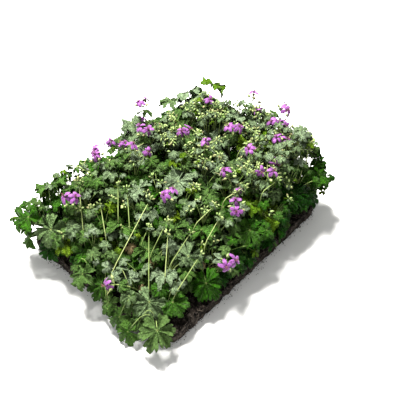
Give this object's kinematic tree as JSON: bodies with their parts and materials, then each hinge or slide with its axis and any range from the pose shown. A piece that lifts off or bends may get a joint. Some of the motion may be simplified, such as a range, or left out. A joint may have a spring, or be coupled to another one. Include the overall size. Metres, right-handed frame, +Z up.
{
  "type": "hardy geranium",
  "caption": "Patch of hardy geranium in flower: clumps of lobed leaves, flower stems and petals growing in a rectangular slab of dark soil.",
  "frame": {"origin": "middle of the soil slab's flat underside", "axes": "+X along the slab's long side towards its taller end, +Y along its short side, +Z up. The low, rounded front corner is at -X and -Y."},
  "size_m": [0.5934, 0.4462, 0.2266],
  "materials": {
    "soil": "matte crumbly fibrous peat",
    "leaf": "matte grey-green, finely hairy",
    "stem": "matte pale yellow-green",
    "petal": "satin magenta-pink"
  },
  "bodies": {
    "root": {"flower_stem_01": "stem", "flower_stem_02": "stem", "flower_stem_03": "stem", "flower_stem_04": "stem", "flower_stem_05": "stem", "flower_stem_06": "stem", "flower_stem_07": "stem", "flower_stem_08": "stem", "flower_stem_09": "stem", "flower_stem_10": "stem", "flower_stem_11": "stem", "flower_stem_12": "stem", "flower_stem_13": "stem", "flower_stem_14": "stem", "flower_stem_15": "stem", "flower_stem_16": "stem", "flower_stem_17": "stem", "flower_stem_18": "stem", "flower_stem_19": "stem", "petals_01": "petal", "petals_02": "petal", "petals_03": "petal", "petals_04": "petal", "petals_05": "petal", "petals_06": "petal", "petals_07": "petal", "petals_08": "petal", "petals_09": "petal", "petals_10": "petal", "petals_11": "petal", "petals_12": "petal", "petals_13": "petal", "petals_14": "petal", "petals_15": "petal", "petals_16": "petal", "petals_17": "petal", "petals_18": "petal", "petals_19": "petal", "plant_01": "leaf", "plant_02": "leaf", "plant_03": "leaf", "plant_04": "leaf", "plant_05": "leaf", "plant_06": "leaf", "plant_07": "leaf", "plant_08": "leaf", "plant_09": "leaf", "plant_10": "leaf", "plant_11": "leaf", "plant_12": "leaf", "soil_slab": "soil"}
  },
  "joints": []
}
